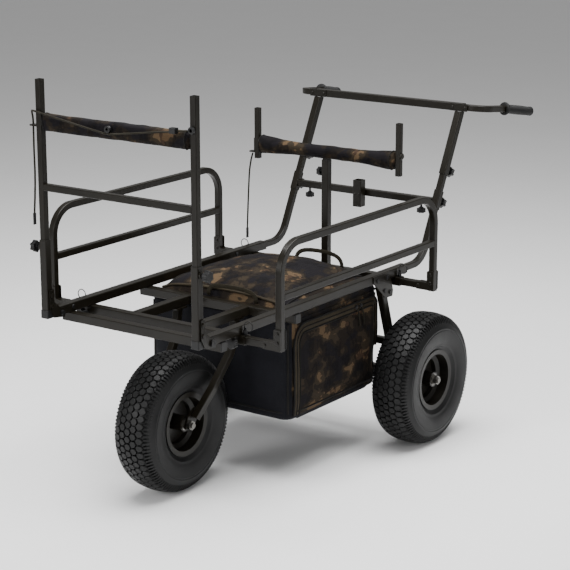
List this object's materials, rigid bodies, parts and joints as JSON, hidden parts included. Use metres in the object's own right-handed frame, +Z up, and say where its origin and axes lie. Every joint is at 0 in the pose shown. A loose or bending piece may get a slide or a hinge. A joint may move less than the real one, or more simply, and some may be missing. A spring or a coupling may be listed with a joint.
{
  "type": "folding three-wheeled barrow",
  "caption": "Three-wheeled tackle barrow of square steel tube with outrigger side gates, folding front panel, telescopic handles, rod rest and slung bag.",
  "frame": {"origin": "on the ground, midway along the cart and on its centre line", "axes": "+X forward over the single front wheel, +Y to the cart's left, +Z up"},
  "size_m": [1.544, 0.794, 1.1109],
  "materials": {
    "frame_paint": "semi-gloss",
    "rim_paint": "satin",
    "black_plastic": "satin",
    "grip_rubber": "matte",
    "tyre_rubber": "matte",
    "zinc": "satin",
    "camo_fabric": "woven",
    "navy_fabric": "woven",
    "olive_webbing": "woven",
    "olive_cord": "braided"
  },
  "bodies": {
    "chassis": {"side_rails": "frame_paint", "deck_tubes": "frame_paint", "outrigger_sleeves": "frame_paint", "front_fork": "frame_paint", "rear_axle_frame": "frame_paint", "frame_bolts_and_caps": "black_plastic", "wheel_axles": "zinc", "wheel_bearings": "zinc", "bag_body": "navy_fabric", "bag_lid": "camo_fabric", "bag_straps": "olive_webbing", "rest_post": "frame_paint"},
    "front_wheel": {"tyre_front": "tyre_rubber", "rim_front": "rim_paint"},
    "rear_wheel_left": {"tyre_rear_left": "tyre_rubber", "rim_rear_left": "rim_paint"},
    "rear_wheel_right": {"tyre_rear_right": "tyre_rubber", "rim_rear_right": "rim_paint"},
    "panel_lower": {"panel_sleeves": "frame_paint", "panel_foot_caps": "black_plastic", "panel_hinge_plates": "frame_paint"},
    "panel_upper": {"panel_inner_frame": "frame_paint", "panel_top_bar": "frame_paint", "panel_pad": "camo_fabric", "shock_cord": "olive_cord", "shock_cord_fittings": "black_plastic", "shock_cord_tag": "black_plastic"},
    "handle_lower": {"handle_lower_tubes": "frame_paint"},
    "handle_upper": {"handle_frame": "frame_paint", "handle_side_bars": "frame_paint", "handle_grips": "grip_rubber"},
    "rear_tie": {"rear_bar": "frame_paint", "rod_holder": "frame_paint"},
    "rod_rest": {"rest_tee": "frame_paint", "rest_pad": "camo_fabric", "rest_cord": "olive_cord", "rest_cord_tag": "black_plastic"},
    "gate_left": {"gate_left_hoop": "frame_paint", "gate_left_arms": "frame_paint", "gate_left_brackets": "frame_paint"},
    "gate_right": {"gate_right_hoop": "frame_paint", "gate_right_arms": "frame_paint", "gate_right_brackets": "frame_paint"},
    "panel_knob_left": {"panel_knob_left": "black_plastic"},
    "outrigger_knob_front_left": {"outrigger_knob_front_left": "black_plastic"},
    "pull_pin_front_left": {"pull_pin_front_left": "zinc"},
    "outrigger_knob_rear_left": {"outrigger_knob_rear_left": "black_plastic"},
    "pull_pin_rear_left": {"pull_pin_rear_left": "zinc"},
    "handle_knob_left": {"handle_knob_left": "black_plastic"},
    "rear_bar_knob_left": {"rear_bar_knob_left": "black_plastic"},
    "rear_bar_screw_left": {"rear_bar_screw_left": "black_plastic"},
    "panel_knob_right": {"panel_knob_right": "black_plastic"},
    "outrigger_knob_front_right": {"outrigger_knob_front_right": "black_plastic"},
    "pull_pin_front_right": {"pull_pin_front_right": "zinc"},
    "outrigger_knob_rear_right": {"outrigger_knob_rear_right": "black_plastic"},
    "pull_pin_rear_right": {"pull_pin_rear_right": "zinc"},
    "handle_knob_right": {"handle_knob_right": "black_plastic"},
    "rear_bar_knob_right": {"rear_bar_knob_right": "black_plastic"},
    "rear_bar_screw_right": {"rear_bar_screw_right": "black_plastic"},
    "rest_knob": {"rest_knob": "black_plastic"}
  },
  "joints": [
    {"name": "front_wheel_spin", "type": "hinge", "parent": "chassis", "child": "front_wheel", "pos_m": [0.543, 0, 0.19], "axis": [0, 1, 0], "continuous": true},
    {"name": "rear_wheel_left_spin", "type": "hinge", "parent": "chassis", "child": "rear_wheel_left", "pos_m": [-0.179, 0.333, 0.19], "axis": [0, 1, 0], "continuous": true},
    {"name": "rear_wheel_right_spin", "type": "hinge", "parent": "chassis", "child": "rear_wheel_right", "pos_m": [-0.179, -0.333, 0.19], "axis": [0, 1, 0], "continuous": true},
    {"name": "panel_fold", "type": "hinge", "parent": "chassis", "child": "panel_lower", "pos_m": [0.708, 0, 0.49], "axis": [0, -1, 0], "range_deg": [0, 78]},
    {"name": "panel_height", "type": "slide", "parent": "panel_lower", "child": "panel_upper", "axis": [0, 0, 1], "range_m": [0, 0.085]},
    {"name": "gate_left_slide", "type": "slide", "parent": "chassis", "child": "gate_left", "axis": [0, 1, 0], "range_m": [-0.045, 0.06]},
    {"name": "gate_right_slide", "type": "slide", "parent": "chassis", "child": "gate_right", "axis": [0, -1, 0], "range_m": [-0.045, 0.06]},
    {"name": "handle_reach", "type": "slide", "parent": "chassis", "child": "handle_lower", "axis": [-1, 0, 0], "range_m": [-0.03, 0.06]},
    {"name": "handle_height", "type": "slide", "parent": "handle_lower", "child": "handle_upper", "axis": [-0.4409, 0, 0.8976], "range_m": [-0.045, 0.08]},
    {"name": "rear_bar_slide", "type": "slide", "parent": "handle_lower", "child": "rear_tie", "axis": [-0.4409, 0, 0.8976], "range_m": [-0.05, 0]},
    {"name": "rest_height", "type": "slide", "parent": "chassis", "child": "rod_rest", "axis": [0, 0, 1], "range_m": [0, 0.13]},
    {"name": "panel_knob_left_turn", "type": "hinge", "parent": "panel_lower", "child": "panel_knob_left", "pos_m": [0.747, 0.2593, 0.671], "axis": [0, 1, 0], "range_deg": [0, 330]},
    {"name": "outrigger_knob_front_left_turn", "type": "hinge", "parent": "chassis", "child": "outrigger_knob_front_left", "pos_m": [0.5873, 0.252, 0.4645], "axis": [1, 0, 0], "range_deg": [0, 330]},
    {"name": "pull_pin_front_left_lift", "type": "slide", "parent": "chassis", "child": "pull_pin_front_left", "axis": [0, 0, 1], "range_m": [0, 0.006], "stiffness_N_per_m": 500, "springref_m": -0.004},
    {"name": "outrigger_knob_rear_left_turn", "type": "hinge", "parent": "chassis", "child": "outrigger_knob_rear_left", "pos_m": [-0.1497, 0.244, 0.4645], "axis": [1, 0, 0], "range_deg": [0, 330]},
    {"name": "pull_pin_rear_left_lift", "type": "slide", "parent": "chassis", "child": "pull_pin_rear_left", "axis": [0, 0, 1], "range_m": [0, 0.006], "stiffness_N_per_m": 500, "springref_m": -0.004},
    {"name": "handle_knob_left_turn", "type": "hinge", "parent": "handle_upper", "child": "handle_knob_left", "pos_m": [-0.43986, 0.25, 0.7439], "axis": [-0.8976, 0, -0.4409], "range_deg": [0, 330]},
    {"name": "rear_bar_knob_left_turn", "type": "hinge", "parent": "rear_tie", "child": "rear_bar_knob_left", "pos_m": [-0.39811, 0.25, 0.6589], "axis": [-0.8976, 0, -0.4409], "range_deg": [0, 330]},
    {"name": "rear_bar_screw_left_turn", "type": "hinge", "parent": "rear_tie", "child": "rear_bar_screw_left", "pos_m": [-0.38731, 0.199, 0.6495], "axis": [0, 0, -1], "range_deg": [0, 330]},
    {"name": "panel_knob_right_turn", "type": "hinge", "parent": "panel_lower", "child": "panel_knob_right", "pos_m": [0.747, -0.2593, 0.671], "axis": [0, -1, 0], "range_deg": [0, 330]},
    {"name": "outrigger_knob_front_right_turn", "type": "hinge", "parent": "chassis", "child": "outrigger_knob_front_right", "pos_m": [0.5873, -0.252, 0.4645], "axis": [1, 0, 0], "range_deg": [0, 330]},
    {"name": "pull_pin_front_right_lift", "type": "slide", "parent": "chassis", "child": "pull_pin_front_right", "axis": [0, 0, 1], "range_m": [0, 0.006], "stiffness_N_per_m": 500, "springref_m": -0.004},
    {"name": "outrigger_knob_rear_right_turn", "type": "hinge", "parent": "chassis", "child": "outrigger_knob_rear_right", "pos_m": [-0.1497, -0.244, 0.4645], "axis": [1, 0, 0], "range_deg": [0, 330]},
    {"name": "pull_pin_rear_right_lift", "type": "slide", "parent": "chassis", "child": "pull_pin_rear_right", "axis": [0, 0, 1], "range_m": [0, 0.006], "stiffness_N_per_m": 500, "springref_m": -0.004},
    {"name": "handle_knob_right_turn", "type": "hinge", "parent": "handle_upper", "child": "handle_knob_right", "pos_m": [-0.43986, -0.25, 0.7439], "axis": [-0.8976, 0, -0.4409], "range_deg": [0, 330]},
    {"name": "rear_bar_knob_right_turn", "type": "hinge", "parent": "rear_tie", "child": "rear_bar_knob_right", "pos_m": [-0.39811, -0.25, 0.6589], "axis": [-0.8976, 0, -0.4409], "range_deg": [0, 330]},
    {"name": "rear_bar_screw_right_turn", "type": "hinge", "parent": "rear_tie", "child": "rear_bar_screw_right", "pos_m": [-0.38731, -0.199, 0.6495], "axis": [0, 0, -1], "range_deg": [0, 330]},
    {"name": "rest_knob_turn", "type": "hinge", "parent": "chassis", "child": "rest_knob", "pos_m": [-0.1835, -0.0093, 0.751], "axis": [0, -1, 0], "range_deg": [0, 330]}
  ]
}
